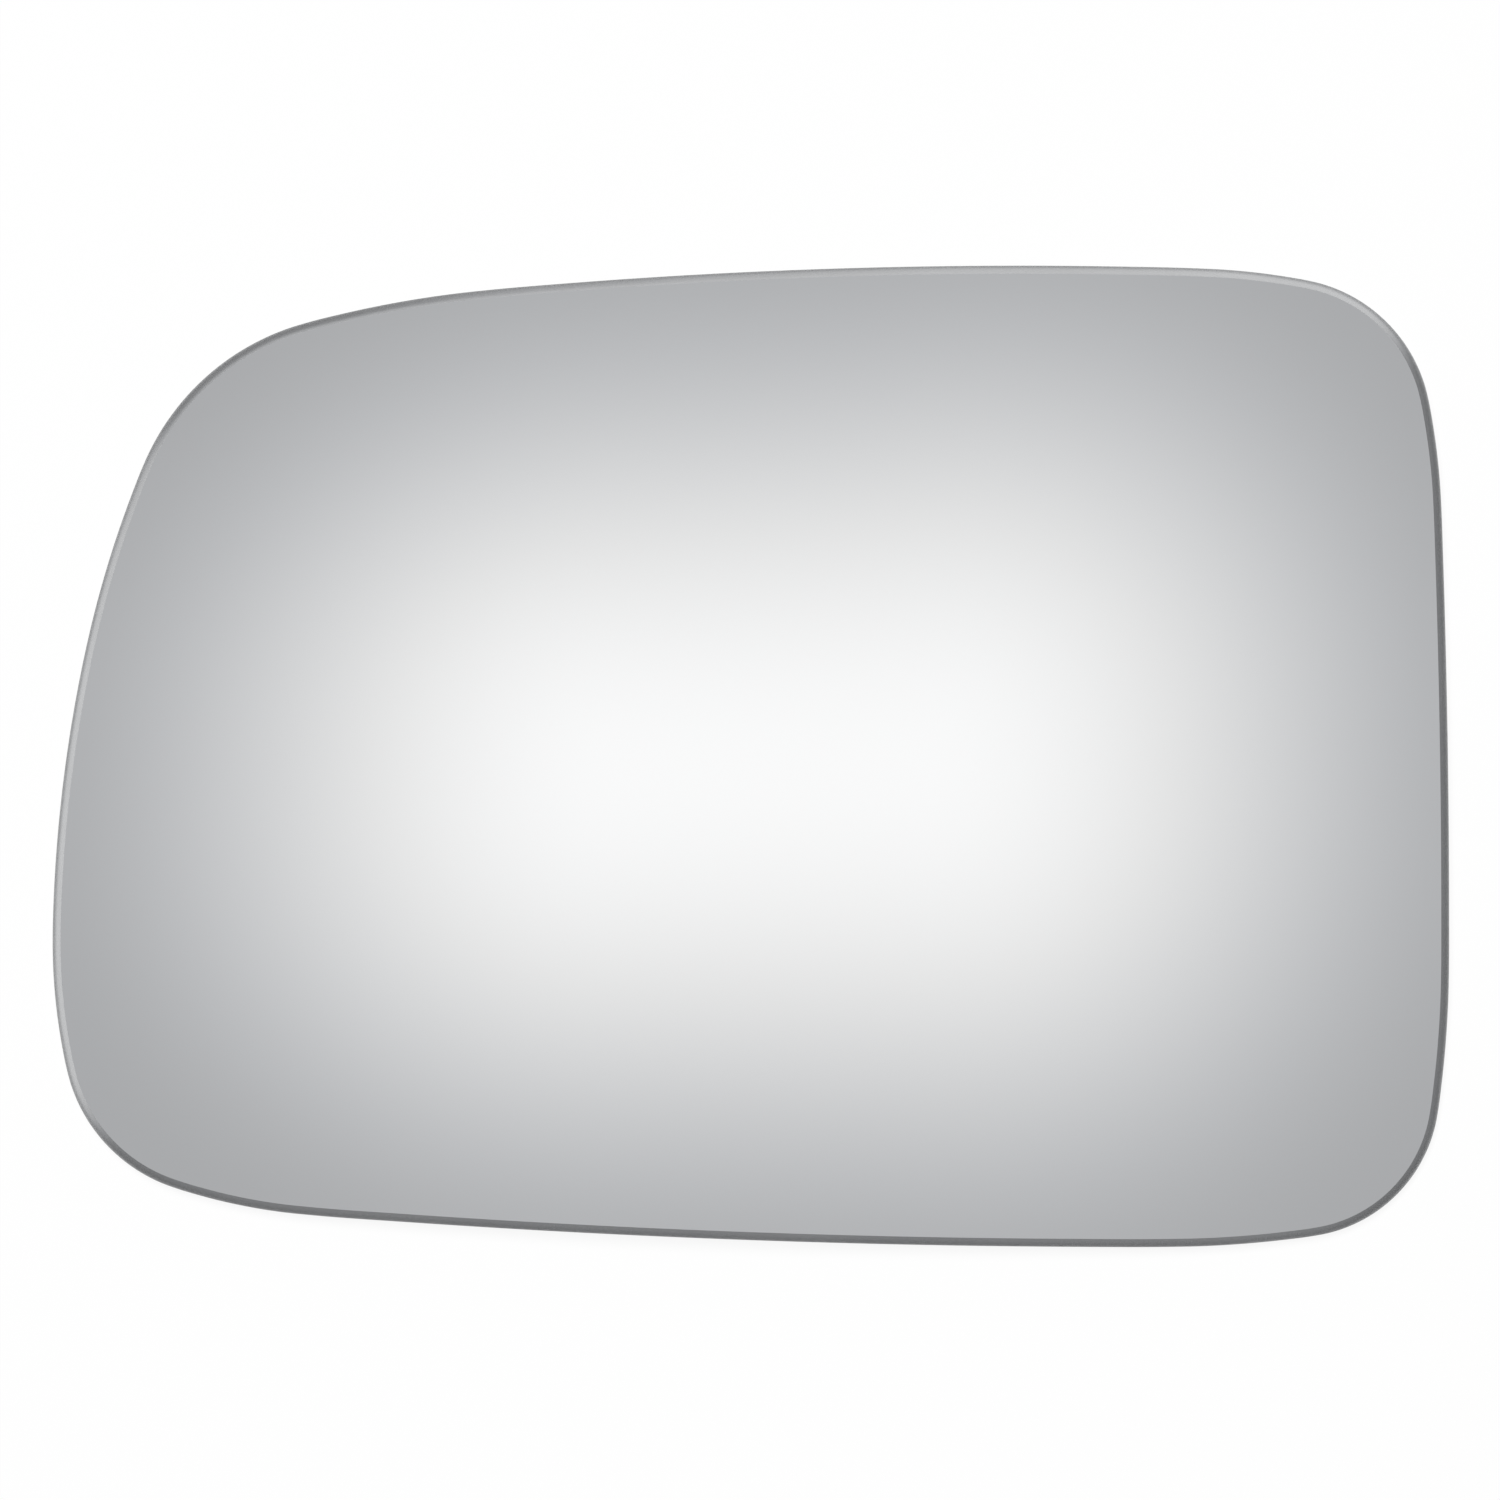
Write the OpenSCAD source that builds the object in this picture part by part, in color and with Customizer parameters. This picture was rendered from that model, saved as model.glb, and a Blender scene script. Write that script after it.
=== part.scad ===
// Glass of a car door mirror, left-hand side: one bent pane with a ground rim.
// It lies face up on its back, with the dome of the convex face on top.
// Origin: middle of the footprint, at the level the rim rests on. Millimetres.

/* [Pane] */
// Full width, from the inboard (right) side to the outboard (left) side
glass_w = 178; // [147:1:212]
// Full height, from the bottom side to the top side
glass_h = 125; // [104:1:149]
// Thickness of the pane
glass_t = 2; // [1.6:0.1:3]
// Radius of the convex front face
face_r = 1400; // [1160:10:2000]

/* [Sides] */
// Radius of the slow bow of the right side
right_bow_r = 1470; // [1200:10:1800]
// Radius of the slow bow of the top side
top_bow_r = 755; // [620:5:900]
// Radius of the bow of the left side
left_bow_r = 186; // [154:1:225]
// Radius of the slow bow of the bottom side
bottom_bow_r = 1400; // [1160:10:1700]
// How far below the middle the right side stands furthest out
right_peak_drop = 22; // [18:0.5:27]
// How far right of the middle the top side stands highest
top_peak_shift = 35; // [29:0.5:42]
// How far below the middle the left side stands furthest out
left_peak_drop = 26; // [21:0.5:31]
// How far right of the middle the bottom side hangs lowest
bottom_peak_shift = 50.5; // [41:0.5:60.5]

/* [Corners] */
// Radius of the top right corner
tr_corner_r = 19.3; // [16:0.1:23]
// Radius of the curves that ease into the top right corner
tr_ease_r = 86; // [71:1:103]
// Turn of each curve that eases into the top right corner, in degrees
tr_ease_turn = 9.3; // [7.7:0.1:11.1]
// Radius of the top left corner, the largest of the four
tl_corner_r = 31; // [25.5:0.1:37]
// Radius of the curves that ease into the top left corner
tl_ease_r = 138; // [114:1:165]
// Turn of each curve that eases into the top left corner, in degrees
tl_ease_turn = 10; // [8.3:0.1:12]
// Radius of the bottom left corner
bl_corner_r = 20.4; // [16.9:0.1:24.3]
// Radius of the curves that ease into the bottom left corner
bl_ease_r = 73.5; // [61:0.5:87.5]
// Turn of each curve that eases into the bottom left corner, in degrees
bl_ease_turn = 14; // [11.6:0.1:16.7]
// Radius of the bottom right corner
br_corner_r = 18.5; // [15.3:0.1:22.1]
// Radius of the curves that ease into the bottom right corner
br_ease_r = 133; // [110:1:159]
// Turn of each curve that eases into the bottom right corner, in degrees
br_ease_turn = 8.2; // [6.8:0.1:9.8]

/* [Ground rim] */
// Width of the slightly rounded bevel round the front, as seen from the front
bevel_w = 1.05; // [0.85:0.05:1.25]
// Depth of the bevel, down from the front face
bevel_d = 0.75; // [0.6:0.05:0.9]
// Turn of the bevel's surface from its outer to its inner line, in degrees
bevel_turn = 16; // [13:1:19]
// Size of the small chamfer round the back
back_chamfer = 0.25; // [0.2:0.05:0.3]

/* [Hidden] */
// Steps along one side, one easing curve, one corner and the bevel
side_steps = 9;
ease_steps = 5;
corner_steps = 16;
bevel_steps = 4;
// Smoothness of the two spherical faces
$fn = 256;
// How far the trimming body runs out past the faces it cuts
over = 0.3;
// Space left above the dome and below the rim by the trimming body
spare = 1;
// Part of a bevel step by which the bevel runs out past the front face
run_out = 0.6;

// Sides in turn: right, top, left, bottom
side_r = [right_bow_r, top_bow_r, left_bow_r, bottom_bow_r];
side_o = [
    [glass_w / 2 - right_bow_r, -right_peak_drop],
    [top_peak_shift, glass_h / 2 - top_bow_r],
    [left_bow_r - glass_w / 2, -left_peak_drop],
    [bottom_peak_shift, bottom_bow_r - glass_h / 2]
];
// Corners in turn: top right, top left, bottom left, bottom right
corner_r = [tr_corner_r, tl_corner_r, bl_corner_r, br_corner_r];
ease_r = [tr_ease_r, tl_ease_r, bl_ease_r, br_ease_r];
ease_a = [tr_ease_turn, tl_ease_turn, bl_ease_turn, br_ease_turn];

function next(k) = (k + 1) % 4;
function last(k) = (k + 3) % 4;
function way(a) = [cos(a), sin(a)];
function heading(v) = atan2(v.y, v.x);
// The same direction as a, written as an angle within half a turn of b
function near(a, b) = b + (a - b + 540) % 360 - 180;

// From the middle of a side's circle to the middle of a corner's circle,
// and the angle by which that line leads the start of the easing curve
function lead(r, k) = (r - ease_r[k]) * way(0) + (ease_r[k] - corner_r[k]) * way(ease_a[k]);
function reach(s, k) = norm(lead(side_r[s], k));
function swing(s, k) = heading(lead(side_r[s], k));

// Middle of corner k: it lies at its own reach from both side circles
function corner_o(k) = let (
    p = side_o[k],
    q = side_o[next(k)],
    d = norm(q - p),
    u = (q - p) / d,
    a = reach(k, k),
    b = reach(next(k), k),
    along = (a * a - b * b + d * d) / (2 * d),
    aside = sqrt(a * a - along * along)
) p + along * u + aside * [-u.y, u.x];

// Directions in which corner k starts and ends, easing curves included
function corner_from(k) = near(heading(corner_o(k) - side_o[k]) - swing(k, k), 90 * k);
function corner_to(k) = near(
    heading(corner_o(k) - side_o[next(k)]) + swing(next(k), k), 90 * k + 90);
function side_from(k) = corner_to(last(k)) - (k == 0 ? 360 : 0);

// Curves of the outline, anticlockwise: [middle, radius, from, to, steps]
function side_curve(k) = [side_o[k], side_r[k], side_from(k), corner_from(k), side_steps];
function ease_in(k) = let (a = corner_from(k))
    [side_o[k] + (side_r[k] - ease_r[k]) * way(a), ease_r[k], a, a + ease_a[k], ease_steps];
function corner(k) =
    [corner_o(k), corner_r[k], corner_from(k) + ease_a[k], corner_to(k) - ease_a[k], corner_steps];
function ease_out(k) = let (a = corner_to(k), s = next(k))
    [side_o[s] + (side_r[s] - ease_r[k]) * way(a), ease_r[k], a - ease_a[k], a, ease_steps];
curves = [for (k = [0:3]) each [side_curve(k), ease_in(k), corner(k), ease_out(k)]];

// Points of the outline as [x, y, direction square to the edge]
rough = [for (c = curves) for (i = [0:c[4] - 1])
    let (a = c[2] + (c[3] - c[2]) * i / c[4])
    [c[0].x + c[1] * cos(a), c[0].y + c[1] * sin(a), a]];
rough_x = [for (p = rough) p.x];
rough_y = [for (p = rough) p.y];
span_x = max(rough_x) - min(rough_x);
span_y = max(rough_y) - min(rough_y);
mid_x = (max(rough_x) + min(rough_x)) / 2;
mid_y = (max(rough_y) + min(rough_y)) / 2;
// The points again, centred and true to the full width and height
outline = [for (p = rough)
    [(p.x - mid_x) * glass_w / span_x, (p.y - mid_y) * glass_h / span_y, p.z]];
count = len(outline);
function inset(p, d) = [p.x, p.y] - d * way(p.z);

// Height of the common middle of the two spherical faces: the rim rests at zero
back_r = face_r - glass_t;
middle_r = face_r - glass_t / 2;
far = max([for (p = outline) norm(inset(p, back_chamfer))]);
sphere_z = -sqrt(back_r * back_r - far * far);
function middle_z(q) = sphere_z + sqrt(middle_r * middle_r - q.x * q.x - q.y * q.y);

// Bevel: a slow arc from the land at the outside to the front face
bevel_lean = atan2(bevel_w, bevel_d);
bevel_r = norm([bevel_w, bevel_d]) / (2 * sin(bevel_turn / 2));
bevel_from = bevel_lean - bevel_turn / 2;
function bevel_at(i) = let (a = bevel_from + bevel_turn * i / bevel_steps)
    [bevel_r * (cos(bevel_from) - cos(a)),
     glass_t / 2 - bevel_d + bevel_r * (sin(a) - sin(bevel_from))];

// Section of the rim as [distance in from the outline, height over the middle]
rim = [
    [back_chamfer + over, -glass_t / 2 - over],
    [0, back_chamfer - glass_t / 2],
    for (i = [0:bevel_steps - 1]) bevel_at(i),
    bevel_at(bevel_steps + run_out)
];
function rim_ring(s) = [for (p = outline) let (q = inset(p, s.x)) [q.x, q.y, middle_z(q) + s.y]];
function flat_ring(d, z) = [for (p = outline) let (q = inset(p, d)) [q.x, q.y, z]];
rings = [
    flat_ring(rim[0].x, -spare),
    for (s = rim) rim_ring(s),
    flat_ring(rim[len(rim) - 1].x, sphere_z + face_r + spare)
];
wall = [for (j = [0:len(rings) - 2]) for (i = [0:count - 1])
    let (a = j * count + i, b = j * count + (i + 1) % count)
    each [[a, a + count, b + count], [a, b + count, b]]];
floor_face = [for (i = [0:count - 1]) i];
lid_face = [for (i = [count - 1:-1:0]) (len(rings) - 1) * count + i];

// Body with the outline of the pane and the section of its ground rim
module rim_body() {
    polyhedron(points = [for (r = rings) each r], faces = concat(wall, [floor_face, lid_face]));
}

// Ball round the common middle, turned so that its poles lie clear of the pane
module ball(r) {
    translate([0, 0, sphere_z]) rotate([90, 0, 0]) sphere(r = r);
}

// The pane: bent glass, silvered on its back, with the rim ground all round
module mirror_glass() {
    color("lightgray") difference() {
        intersection() {
            rim_body();
            ball(face_r);
        }
        ball(back_r);
    }
}

mirror_glass();
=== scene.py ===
"""The look of a car door mirror glass: silvered face, ground rim and painted back, in metres."""

from collections import namedtuple
import math

import bpy
import numpy as np
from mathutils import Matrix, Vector


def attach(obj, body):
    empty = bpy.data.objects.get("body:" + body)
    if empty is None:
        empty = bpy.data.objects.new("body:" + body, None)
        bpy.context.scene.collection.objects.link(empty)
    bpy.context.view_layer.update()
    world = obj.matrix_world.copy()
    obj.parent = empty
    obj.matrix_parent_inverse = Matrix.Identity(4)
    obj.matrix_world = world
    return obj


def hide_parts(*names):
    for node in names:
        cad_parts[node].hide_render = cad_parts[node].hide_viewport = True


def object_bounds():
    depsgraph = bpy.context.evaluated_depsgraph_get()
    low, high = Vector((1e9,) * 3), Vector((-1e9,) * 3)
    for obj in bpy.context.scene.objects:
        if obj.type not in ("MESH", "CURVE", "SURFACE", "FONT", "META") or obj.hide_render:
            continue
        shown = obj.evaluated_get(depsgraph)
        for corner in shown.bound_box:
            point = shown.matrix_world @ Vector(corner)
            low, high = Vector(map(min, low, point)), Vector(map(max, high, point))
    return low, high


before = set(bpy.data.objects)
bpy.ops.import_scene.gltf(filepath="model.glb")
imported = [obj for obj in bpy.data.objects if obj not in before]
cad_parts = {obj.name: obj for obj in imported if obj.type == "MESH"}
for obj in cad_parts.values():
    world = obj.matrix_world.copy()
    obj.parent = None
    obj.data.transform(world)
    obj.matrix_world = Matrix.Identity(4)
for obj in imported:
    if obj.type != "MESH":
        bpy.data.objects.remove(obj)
cad_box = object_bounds()

# Sizes of the pane that its box doesn't show
NODE = "mirror_glass"
FACE_R = 1.400
THICKNESS = 0.002
BEVEL_W = 0.00105
BEVEL_D = 0.00075
BEVEL_TURN = math.radians(16)
BACK_CHAMFER = 0.00025

# Fineness of the mesh
OUTLINE_STEP = 0.0012
DOME_STEP = 0.0022
BEVEL_STEPS = 8
SAME_POINT = 1e-5

# Faces of the pane, in the order of its materials
FACE, RIM, BACK = range(3)

# Camera: straight in front of the glass, as in the photograph of 1500 by 1500 pixels
PHOTO_SIDE = 1500
PANE_LEFT_PX = 52.4
PANE_RIGHT_PX = 1449.0
PANE_MIDDLE_PX = (750.9, 756.4)
CAMERA_HEIGHT = 1.5
RIM_HEIGHT = 0.002
SENSOR = 36.0

# Looks. A tint or a roughness is the two ends between which a noise moves it,
# a noise is (cells to a metre, detail), and a bump is (strength, depth)
WHITE = (1.0, 1.0, 1.0)
FACE_TINT = ((0.914, 0.919, 0.922), (0.922, 0.924, 0.924))
FACE_ROUGHNESS = (0.018, 0.04)
FACE_CLOUDS = (14.0, 3.0)
FACE_POLISH = (160.0, 4.0)
RIM_TINT = ((0.475, 0.480, 0.486), (0.545, 0.550, 0.558))
RIM_TINT_SPREAD = 2.5
RIM_ROUGHNESS = (0.17, 0.25)
RIM_SILVER = 0.80
RIM_SPECULAR = 0.4
RIM_MARKS = (9000.0, 3.0)
RIM_MARK_SCALE = (0.12, 1.0, 1.0)
RIM_PATCHES = (60.0, 3.0)
RIM_BUMP = (0.05, 0.00002)
BACK_TINT = ((0.105, 0.110, 0.115), (0.135, 0.140, 0.145))
BACK_ROUGHNESS = (0.48, 0.62)
BACK_PATCHES = (30.0, 3.0)
BACK_GRAIN = (900.0, 4.0)
BACK_BUMP = (0.2, 0.00003)

# Floor: its own tint, and the share of the shadow on it that the camera sees near the glass.
# That share fades out between two distances from the glass
FLOOR_SIDE = 30.0
FLOOR_TINT = (0.8, 0.8, 0.8)
SHADOW_SHARE = 0.08
SHADOW_FADE = (0.25, 0.90)

# Lamp, and the even light from all round. Levels are what they make of a white card
KEY_TURN = math.radians(118)
KEY_RISE = math.radians(68)
KEY_DISTANCE = 3.0
KEY_WIDTH = 1.6
KEY_LEVEL = 1.025
FILL_LEVEL = 0.05

# Soft oval light over the glass. Its sizes are slopes off the upright, as seen from the glass
GLOW_EDGE = 0.402
GLOW_RISE = 0.550
GLOW_MIDDLE = (0.0057, -0.0023)
GLOW_HALF_BAR = 0.0377
GLOW_REACH = (0.1806, 0.1582)
GLOW_LEAN = 0.0251
GLOW_FLARE = 0.435
GLOW_LEAST_FLARE = 0.5
GLOW_ROUND = 2.2

# The studio in reflections is bluish up to the dim level and white from the bright one.
# It is made brighter by what the silver takes away
DIM_TINT = (0.983, 0.996, 1.021)
DIM_LEVEL = 0.5
BRIGHT_LEVEL = 0.78
SILVER = 0.92

# The studio's walls as seen from the glass: dark, a little paler upward, with soft boxes.
# Heights are sines of the rise. A box comes in and goes out between two heights each
WALL_LOW = 0.15
WALL_HIGH = 0.29
WALL_RAMP = (0.05, 0.60)
WALL_TOP = (0.75, 0.93)
Box = namedtuple("Box", "turn reach level rise_in rise_out")
BOXES = (
    Box(turn=65, reach=42, level=1.04, rise_in=(-0.01, 0.20), rise_out=(0.42, 0.65)),
    Box(turn=183, reach=42, level=1.04, rise_in=(-0.01, 0.20), rise_out=(0.42, 0.65)),
    Box(turn=272, reach=30, level=0.29, rise_in=(0.05, 0.40), rise_out=(0.50, 0.90)),
    Box(turn=124, reach=58, level=1.00, rise_in=(0.29, 0.54), rise_out=(0.60, 0.93)),
)

# Least divisors, which keep the studio's sums in range at the horizon and overhead
LEAST_RISE = 0.01
LEAST_LEVEL_SQUARE = 1e-4


def outline_points():
    """Corners of the pane's outline as seen from above, anticlockwise, from its solid."""
    seen = sorted({tuple(v.co[:2]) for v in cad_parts[NODE].data.vertices})

    def turn(a, b, c):
        return (b[0] - a[0]) * (c[1] - a[1]) - (b[1] - a[1]) * (c[0] - a[0])

    def lower_chain(points):
        chain = []
        for p in points:
            while len(chain) > 1 and turn(chain[-2], chain[-1], p) <= 0:
                chain.pop()
            chain.append(p)
        return chain[:-1]

    ring = np.array(lower_chain(seen) + lower_chain(seen[::-1]))
    apart = np.linalg.norm(ring - np.roll(ring, 1, axis=0), axis=1) > SAME_POINT
    return ring[apart]


def smooth_outline(corners):
    """Closely spaced points on the smooth curve through the corners, and the directions square to it."""
    ahead = np.roll(corners, -1, axis=0) - corners
    length = np.linalg.norm(ahead, axis=1)
    way = ahead / length[:, None]
    before, way_before = np.roll(length, 1), np.roll(way, 1, axis=0)
    tangent = way_before * length[:, None] + way * before[:, None]
    tangent /= np.linalg.norm(tangent, axis=1)[:, None]
    points, square = [], []
    for i, start in enumerate(corners):
        j = (i + 1) % len(corners)
        end, t0, t1 = corners[j], tangent[i] * length[i], tangent[j] * length[i]
        count = math.ceil(length[i] / OUTLINE_STEP)
        for u in np.arange(count) / count:
            points.append(
                start * (2 * u**3 - 3 * u**2 + 1) + t0 * (u**3 - 2 * u**2 + u)
                + end * (3 * u**2 - 2 * u**3) + t1 * (u**3 - u**2)
            )
            slope = (
                (start - end) * (6 * u**2 - 6 * u)
                + t0 * (3 * u**2 - 4 * u + 1) + t1 * (3 * u**2 - 2 * u)
            )
            square.append(np.array((slope[1], -slope[0])) / np.linalg.norm(slope))
    return np.array(points), np.array(square)


def bevel_section():
    """The rounded bevel as (distance in from the outline, height over the middle of the glass)."""
    lean = math.atan2(BEVEL_W, BEVEL_D)
    radius = math.hypot(BEVEL_W, BEVEL_D) / (2 * math.sin(BEVEL_TURN / 2))
    start = lean - BEVEL_TURN / 2
    foot = THICKNESS / 2 - BEVEL_D
    section = []
    for i in range(BEVEL_STEPS):
        a = start + BEVEL_TURN * i / BEVEL_STEPS
        inset = radius * (math.cos(start) - math.cos(a))
        section.append((inset, foot + radius * (math.sin(a) - math.sin(start))))
    return section


class Pane:
    """Rings of points from the middle of the back, round the rim, to the middle of the face."""

    def __init__(self):
        self.points, self.square = smooth_outline(outline_points())
        self.middle = cad_box[1].z - FACE_R
        self.rings = []
        self.parts = []
        self.creases = []

    def ball(self, plan, radius):
        """Heights over the plan of the ball round the common middle."""
        return self.middle + np.sqrt(radius**2 - (plan**2).sum(axis=1))

    def inset(self, distance):
        """The outline moved in by a distance."""
        return self.points - self.square * distance

    def add(self, plan, height, part, crease=False):
        """Adds a ring. part is the face between this ring and the one before it."""
        if crease:
            self.creases.append(len(self.rings))
        self.rings.append(np.column_stack((plan, height)))
        self.parts.append(part)

    def dome_shares(self, plan):
        """Even shares of the way from the middle out to the plan, without its two ends."""
        steps = math.ceil(np.linalg.norm(plan, axis=1).max() / DOME_STEP)
        return np.arange(1, steps) / steps

    def build(self):
        back_r = FACE_R - THICKNESS
        middle_r = FACE_R - THICKNESS / 2
        back = self.inset(BACK_CHAMFER)
        for share in self.dome_shares(back):
            self.add(back * share, self.ball(back * share, back_r), BACK)
        self.add(back, self.ball(back, back_r), BACK, crease=True)
        land_foot = (0.0, BACK_CHAMFER - THICKNESS / 2)
        self.add_section(land_foot, middle_r, crease=True)
        for i, place in enumerate(bevel_section()):
            self.add_section(place, middle_r, crease=i == 0)
        face = self.inset(BEVEL_W)
        self.add(face, self.ball(face, FACE_R), RIM, crease=True)
        for share in self.dome_shares(face)[::-1]:
            self.add(face * share, self.ball(face * share, FACE_R), FACE)
        return self.mesh()

    def add_section(self, place, middle_r, crease):
        """Adds a ring of the rim at a place of its section."""
        distance, height = place
        plan = self.inset(distance)
        self.add(plan, self.ball(plan, middle_r) + height, RIM, crease)

    def mesh(self):
        around, rings = len(self.points), len(self.rings)
        ends = [(0.0, 0.0, self.middle + FACE_R - THICKNESS), (0.0, 0.0, self.middle + FACE_R)]
        first, last = around * rings, around * rings + 1
        faces, parts = [], []
        for c in range(around):
            d = (c + 1) % around
            faces.append((first, d, c))
            parts.append(BACK)
            for r in range(rings - 1):
                low, high = r * around, (r + 1) * around
                faces.append((low + c, low + d, high + d, high + c))
                parts.append(self.parts[r + 1])
            top = (rings - 1) * around
            faces.append((top + c, top + d, last))
            parts.append(FACE)
        mesh = bpy.data.meshes.new("mirror_pane")
        mesh.from_pydata(np.vstack(self.rings + [ends]).tolist(), [], faces)
        mesh.polygons.foreach_set("use_smooth", [True] * len(faces))
        mesh.polygons.foreach_set("material_index", parts)
        self.mark_creases(mesh, around)
        self.lay_map(mesh, around)
        mesh.validate()
        return mesh

    def mark_creases(self, mesh, around):
        """Marks the edges along the rings at which the shading breaks."""
        ends = np.empty(len(mesh.edges) * 2, int)
        mesh.edges.foreach_get("vertices", ends)
        ring = ends.reshape(-1, 2) // around
        sharp = (ring[:, 0] == ring[:, 1]) & np.isin(ring[:, 0], self.creases)
        mark = mesh.attributes.new("sharp_edge", "BOOLEAN", "EDGE")
        mark.data.foreach_set("value", sharp)

    def lay_map(self, mesh, around):
        """Map of the rim: distance round the outline and distance up its section, in metres."""
        along = np.linalg.norm(np.roll(self.points, -1, axis=0) - self.points, axis=1)
        along = np.concatenate(([0.0], np.cumsum(along)))
        up = [0.0]
        for low, high in zip(self.rings, self.rings[1:]):
            up.append(up[-1] + np.linalg.norm(high - low, axis=1).mean())
        layer = mesh.uv_layers.new(name="rim_map")
        for face in mesh.polygons:
            corners = [mesh.loops[i].vertex_index for i in face.loop_indices]
            column = [v % around for v in corners]
            wraps = max(column) - min(column) > 1
            for i, v, c in zip(face.loop_indices, corners, column):
                row = min(v // around, len(up) - 1)
                layer.data[i].uv = (along[around if wraps and c == 0 else c], up[row])


def new_material(name):
    material = bpy.data.materials.new(name)
    material.use_nodes = True
    tree = material.node_tree
    return material, tree, tree.nodes["Principled BSDF"]


def add_node(tree, kind, **sockets):
    node = tree.nodes.new(kind)
    for name, value in sockets.items():
        node.inputs[name.replace("_", " ")].default_value = value
    return node


def add_noise(tree, where, noise):
    """Noise by place on the piece."""
    scale, detail = noise
    node = add_node(tree, "ShaderNodeTexNoise", Scale=scale, Detail=detail)
    tree.links.new(where, node.inputs["Vector"])
    return node.outputs["Fac"]


def add_blend(tree, factor, ends):
    """A colour between the two ends, by factor."""
    blend = tree.nodes.new("ShaderNodeMix")
    blend.data_type = "RGBA"
    tree.links.new(factor, blend.inputs["Factor"])
    for name, end in zip("AB", ends):
        blend.inputs[name].default_value = (*end, 1.0)
    return blend.outputs["Result"]


def add_range(tree, factor, ends):
    """factor from nought to one, spread from one end to the other."""
    low, high = ends
    spread = add_node(tree, "ShaderNodeMapRange", To_Min=low, To_Max=high)
    tree.links.new(factor, spread.inputs["Value"])
    return spread.outputs["Result"]


def add_bump(tree, shader, height, bump):
    strength, depth = bump
    node = add_node(tree, "ShaderNodeBump", Strength=strength, Distance=depth)
    tree.links.new(height, node.inputs["Height"])
    tree.links.new(node.outputs["Normal"], shader.inputs["Normal"])


def place_on_piece(tree):
    return tree.nodes.new("ShaderNodeTexCoord").outputs["Object"]


def place_on_rim(tree):
    """Place on the rim's map, drawn out along the rim."""
    rim_map = tree.nodes.new("ShaderNodeUVMap")
    rim_map.uv_map = "rim_map"
    stretch = add_node(tree, "ShaderNodeMapping", Scale=RIM_MARK_SCALE)
    tree.links.new(rim_map.outputs["UV"], stretch.inputs["Vector"])
    return stretch.outputs["Vector"]


def silvered_face():
    """Polished glass over silver, with faint unevenness of tint and polish."""
    material, tree, shader = new_material("silvered_face")
    where = place_on_piece(tree)
    tint = add_blend(tree, add_noise(tree, where, FACE_CLOUDS), FACE_TINT)
    tree.links.new(tint, shader.inputs["Base Color"])
    polish = add_noise(tree, where, FACE_POLISH)
    tree.links.new(add_range(tree, polish, FACE_ROUGHNESS), shader.inputs["Roughness"])
    shader.inputs["Metallic"].default_value = 1.0
    return material


def ground_rim():
    """Glass ground to a satin sheen over silver, with fine grinding marks along the rim."""
    material, tree, shader = new_material("ground_rim")
    marks = add_noise(tree, place_on_rim(tree), RIM_MARKS)
    patches = add_noise(tree, place_on_piece(tree), RIM_PATCHES)
    both = Sums(tree).do("MULTIPLY", marks, patches)
    tint = add_blend(tree, add_range(tree, both, (0.0, RIM_TINT_SPREAD)), RIM_TINT)
    tree.links.new(tint, shader.inputs["Base Color"])
    tree.links.new(add_range(tree, marks, RIM_ROUGHNESS), shader.inputs["Roughness"])
    add_bump(tree, shader, marks, RIM_BUMP)
    shader.inputs["Metallic"].default_value = RIM_SILVER
    shader.inputs["Specular IOR Level"].default_value = RIM_SPECULAR
    return material


def painted_back():
    """Grey backing paint over the silver, rolled on and slightly grainy."""
    material, tree, shader = new_material("painted_back")
    where = place_on_piece(tree)
    grain = add_noise(tree, where, BACK_GRAIN)
    tint = add_blend(tree, add_noise(tree, where, BACK_PATCHES), BACK_TINT)
    tree.links.new(tint, shader.inputs["Base Color"])
    tree.links.new(add_range(tree, grain, BACK_ROUGHNESS), shader.inputs["Roughness"])
    add_bump(tree, shader, grain, BACK_BUMP)
    return material


def make_pane():
    pane = bpy.data.objects.new("mirror_pane", Pane().build())
    bpy.context.scene.collection.objects.link(pane)
    for material in (silvered_face(), ground_rim(), painted_back()):
        pane.data.materials.append(material)
    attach(pane, "root")
    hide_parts(NODE)


def make_camera():
    """Looks straight down, with the pane at its place and size in the photograph."""
    metre_per_px = (cad_box[1].x - cad_box[0].x) / (PANE_RIGHT_PX - PANE_LEFT_PX)
    data = bpy.data.cameras.new("camera")
    data.sensor_width = SENSOR
    data.lens = SENSOR * (CAMERA_HEIGHT - RIM_HEIGHT) / (metre_per_px * PHOTO_SIDE)
    data.clip_end = FLOOR_SIDE
    camera = bpy.data.objects.new("camera", data)
    half = PHOTO_SIDE / 2
    camera.location = (
        (half - PANE_MIDDLE_PX[0]) * metre_per_px,
        (PANE_MIDDLE_PX[1] - half) * metre_per_px,
        CAMERA_HEIGHT,
    )
    bpy.context.scene.collection.objects.link(camera)
    bpy.context.scene.camera = camera


def make_key_light():
    """A large soft lamp high at the top left, at a power that lights a white card to KEY_LEVEL."""
    data = bpy.data.lights.new("key", "AREA")
    data.shape = "DISK"
    data.size = KEY_WIDTH
    data.energy = KEY_LEVEL * math.pi**2 * KEY_DISTANCE**2
    key = bpy.data.objects.new("key", data)
    level = math.cos(KEY_RISE)
    aim = Vector((level * math.cos(KEY_TURN), level * math.sin(KEY_TURN), math.sin(KEY_RISE)))
    key.location = aim * KEY_DISTANCE
    key.rotation_euler = (-aim).to_track_quat("-Z", "Y").to_euler()
    key.visible_glossy = False
    bpy.context.scene.collection.objects.link(key)


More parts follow.
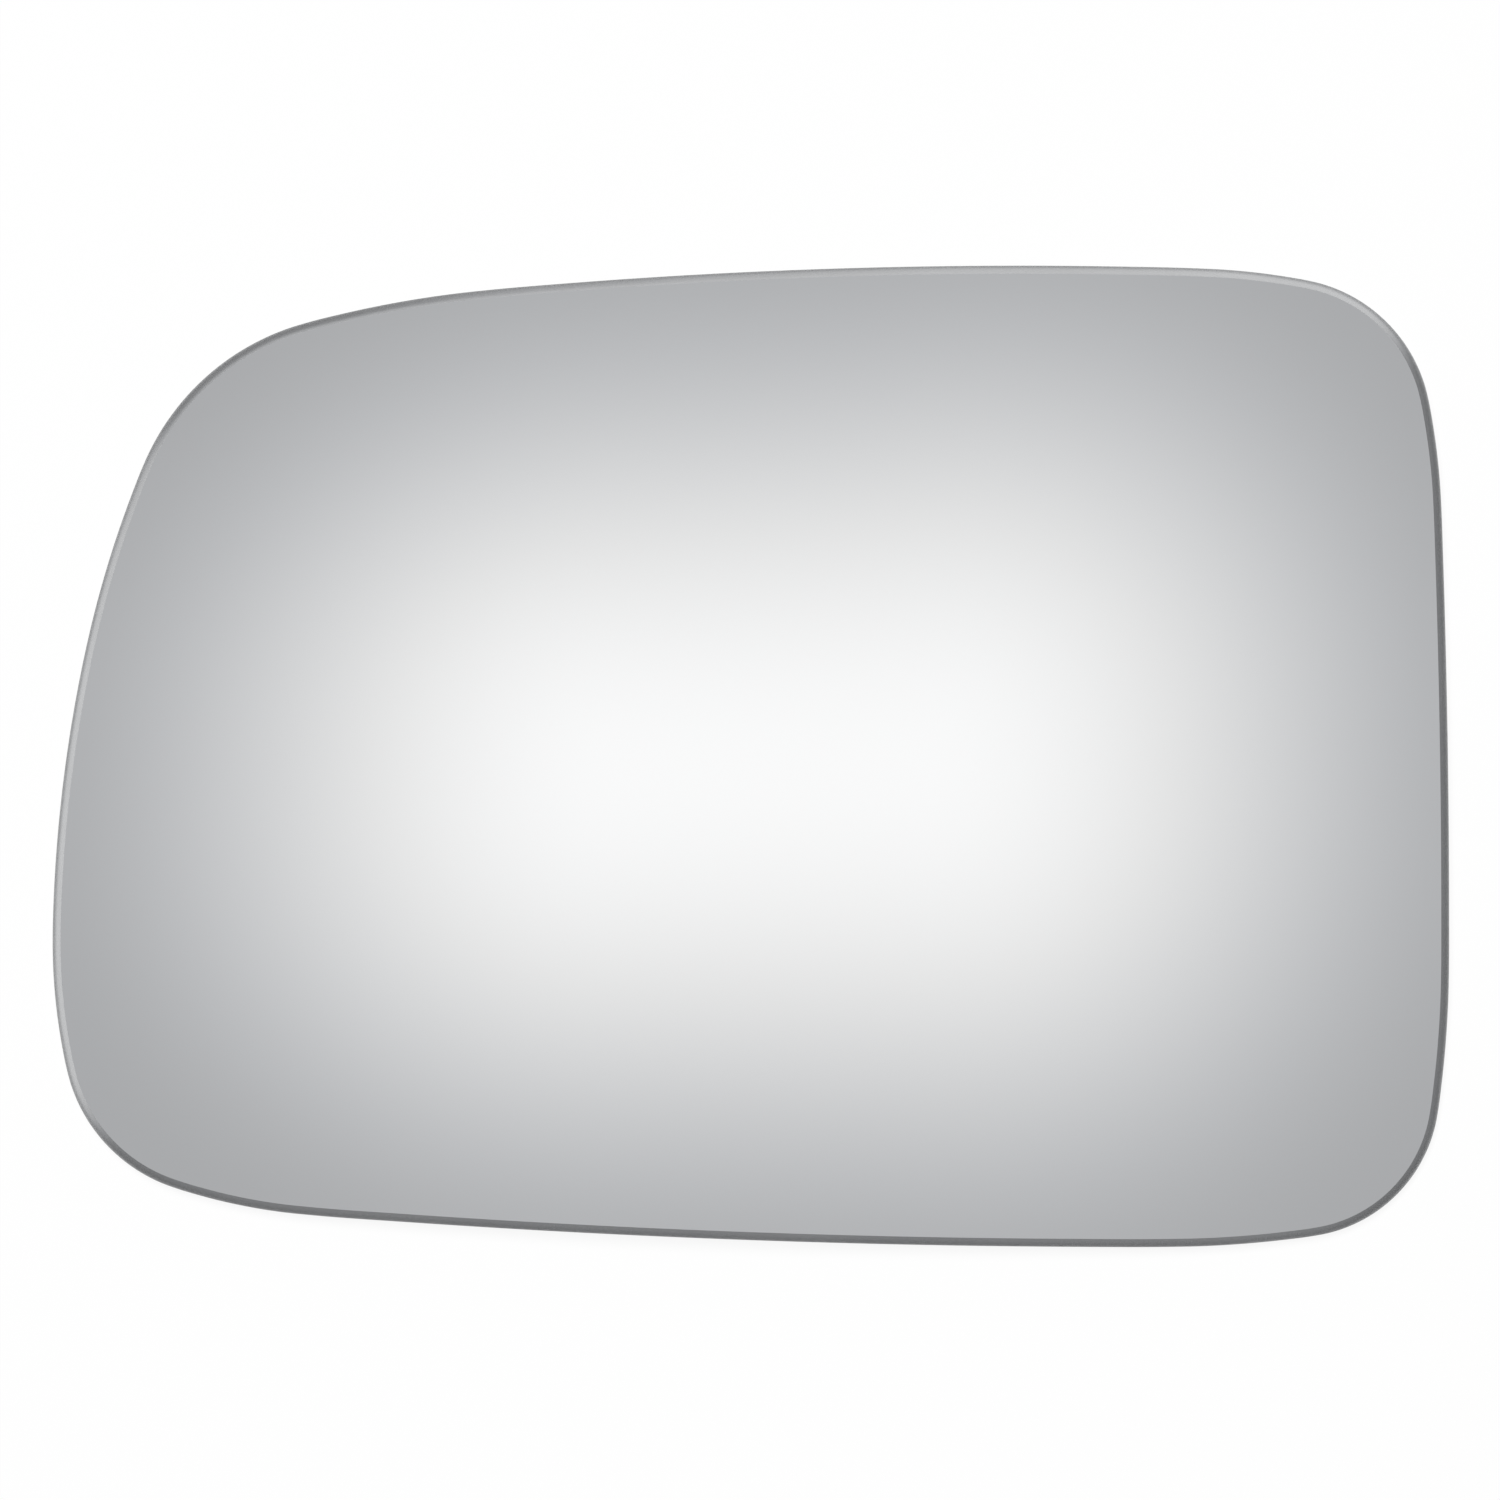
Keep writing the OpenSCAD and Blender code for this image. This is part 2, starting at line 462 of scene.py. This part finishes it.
class Sums:
    """Short forms for arithmetic nodes in one tree."""

    def __init__(self, tree):
        self.tree = tree

    def do(self, operation, *values):
        node = self.tree.nodes.new("ShaderNodeMath")
        node.operation = operation
        for socket, value in zip(node.inputs, values):
            if isinstance(value, (int, float)):
                socket.default_value = value
            else:
                self.tree.links.new(value, socket)
        return node.outputs[0]

    def spread(self, value, given, wanted):
        """value moved smoothly from the given pair of ends to the wanted pair."""
        node = add_node(self.tree, "ShaderNodeMapRange")
        node.interpolation_type = "SMOOTHSTEP"
        ends = zip(("From Min", "From Max", "To Min", "To Max"), (*given, *wanted))
        for name, end in ends:
            node.inputs[name].default_value = end
        self.tree.links.new(value, node.inputs["Value"])
        return node.outputs["Result"]

    def between(self, start, end, share):
        """The value at a share of the way from start to end."""
        return self.do("MULTIPLY_ADD", self.do("SUBTRACT", end, start), share, start)


def join_shaders(tree, factor, first, second):
    """A mix of two shaders by factor."""
    mix = tree.nodes.new("ShaderNodeMixShader")
    tree.links.new(factor, mix.inputs["Fac"])
    tree.links.new(first.outputs[0], mix.inputs[1])
    tree.links.new(second.outputs[0], mix.inputs[2])
    return mix.outputs[0]


def floor_material():
    """White floor. The camera sees nearly all of it plain white, with a faint shadow near the glass."""
    material = bpy.data.materials.new("floor")
    material.use_nodes = True
    tree = material.node_tree
    tree.nodes.clear()
    sums = Sums(tree)
    camera = tree.nodes.new("ShaderNodeLightPath").outputs["Is Camera Ray"]
    matt = tree.nodes.new("ShaderNodeBsdfDiffuse")
    tree.links.new(add_blend(tree, camera, (FLOOR_TINT, WHITE)), matt.inputs["Color"])
    glow = add_node(tree, "ShaderNodeEmission", Color=(*WHITE, 1.0), Strength=1.0)
    away = tree.nodes.new("ShaderNodeVectorMath")
    away.operation = "LENGTH"
    tree.links.new(place_on_piece(tree), away.inputs[0])
    plain_share = sums.spread(away.outputs["Value"], SHADOW_FADE, (1.0 - SHADOW_SHARE, 1.0))
    joined = join_shaders(tree, sums.do("MULTIPLY", plain_share, camera), matt, glow)
    out = tree.nodes.new("ShaderNodeOutputMaterial")
    tree.links.new(joined, out.inputs["Surface"])
    return material


def make_floor():
    half = FLOOR_SIDE / 2
    mesh = bpy.data.meshes.new("floor")
    corners = [(-half, -half, 0), (half, -half, 0), (half, half, 0), (-half, half, 0)]
    mesh.from_pydata(corners, [], [(0, 1, 2, 3)])
    mesh.materials.append(floor_material())
    floor = bpy.data.objects.new("floor", mesh)
    bpy.context.scene.collection.objects.link(floor)


def glow_level(sums, x, y, z):
    """The oval light overhead: brightest along a short bar, and fading to its edge all round."""
    rise = sums.do("MAXIMUM", z, LEAST_RISE)
    across = sums.do("SUBTRACT", sums.do("DIVIDE", x, rise), GLOW_MIDDLE[0])
    along = sums.do("SUBTRACT", sums.do("DIVIDE", y, rise), GLOW_MIDDLE[1])
    along = sums.do("SUBTRACT", along, sums.do("MULTIPLY", across, GLOW_LEAN))
    flare = sums.do("MAXIMUM", sums.do("MULTIPLY_ADD", across, GLOW_FLARE, 1.0), GLOW_LEAST_FLARE)
    off_bar = sums.do("SUBTRACT", sums.do("ABSOLUTE", across), GLOW_HALF_BAR)
    share_x = sums.do("DIVIDE", sums.do("MAXIMUM", off_bar, 0.0), GLOW_REACH[0])
    reach_y = sums.do("MULTIPLY", flare, GLOW_REACH[1])
    share_y = sums.do("DIVIDE", sums.do("ABSOLUTE", along), reach_y)
    power_x = sums.do("POWER", share_x, GLOW_ROUND)
    power_y = sums.do("POWER", share_y, GLOW_ROUND)
    share = sums.do("POWER", sums.do("ADD", power_x, power_y), 1 / GLOW_ROUND)
    share = sums.do("MINIMUM", share, 1.0)
    wave = sums.do("COSINE", sums.do("MULTIPLY", share, math.pi))
    return sums.do("MULTIPLY_ADD", wave, GLOW_RISE / 2, GLOW_EDGE + GLOW_RISE / 2)


def wall_level(sums, x, y, z):
    """The walls, with the soft boxes on them."""
    wall = sums.spread(z, WALL_RAMP, (WALL_LOW, WALL_HIGH))
    level_square = sums.do("ADD", sums.do("MULTIPLY", x, x), sums.do("MULTIPLY", y, y))
    level_length = sums.do("SQRT", sums.do("MAXIMUM", level_square, LEAST_LEVEL_SQUARE))
    for box in BOXES:
        a = math.radians(box.turn)
        toward = sums.do("MULTIPLY_ADD", y, math.sin(a), sums.do("MULTIPLY", x, math.cos(a)))
        cosine = sums.do("DIVIDE", toward, level_length)
        edge = math.cos(math.radians(box.reach))
        share = sums.spread(cosine, (edge, 1.0), (0.0, 1.0))
        share = sums.do("MULTIPLY", share, sums.spread(z, box.rise_in, (0.0, 1.0)))
        share = sums.do("MULTIPLY", share, sums.spread(z, box.rise_out, (1.0, 0.0)))
        wall = sums.between(wall, box.level, share)
    return wall


def studio_level(sums, direction):
    """Brightness of the studio by direction: the walls all round, and the glow overhead."""
    apart = sums.tree.nodes.new("ShaderNodeSeparateXYZ")
    sums.tree.links.new(direction, apart.inputs[0])
    x, y, z = apart.outputs
    glow = glow_level(sums, x, y, z)
    wall = wall_level(sums, x, y, z)
    return sums.between(glow, wall, sums.spread(z, WALL_TOP, (1.0, 0.0)))


def make_world():
    """White to the camera, the studio in reflections, and an even fill for everything else."""
    world = bpy.data.worlds.new("studio")
    bpy.context.scene.world = world
    world.use_nodes = True
    tree = world.node_tree
    tree.nodes.clear()
    sums = Sums(tree)
    direction = tree.nodes.new("ShaderNodeTexCoord").outputs["Generated"]
    path = tree.nodes.new("ShaderNodeLightPath")
    level = studio_level(sums, direction)
    brightness = add_node(
        tree, "ShaderNodeMapRange", From_Min=DIM_LEVEL, From_Max=BRIGHT_LEVEL)
    tree.links.new(level, brightness.inputs["Value"])
    studio = add_node(tree, "ShaderNodeBackground")
    tint = add_blend(tree, brightness.outputs["Result"], (DIM_TINT, WHITE))
    tree.links.new(tint, studio.inputs["Color"])
    tree.links.new(sums.do("DIVIDE", level, SILVER), studio.inputs["Strength"])
    plain = add_node(tree, "ShaderNodeBackground", Color=(*WHITE, 1.0))
    even = sums.between(FILL_LEVEL, 1.0, path.outputs["Is Camera Ray"])
    tree.links.new(even, plain.inputs["Strength"])
    joined = join_shaders(tree, path.outputs["Is Glossy Ray"], plain, studio)
    out = tree.nodes.new("ShaderNodeOutputWorld")
    tree.links.new(joined, out.inputs["Surface"])


make_pane()
make_camera()
make_key_light()
make_floor()
make_world()
bpy.context.scene.view_settings.view_transform = "Standard"
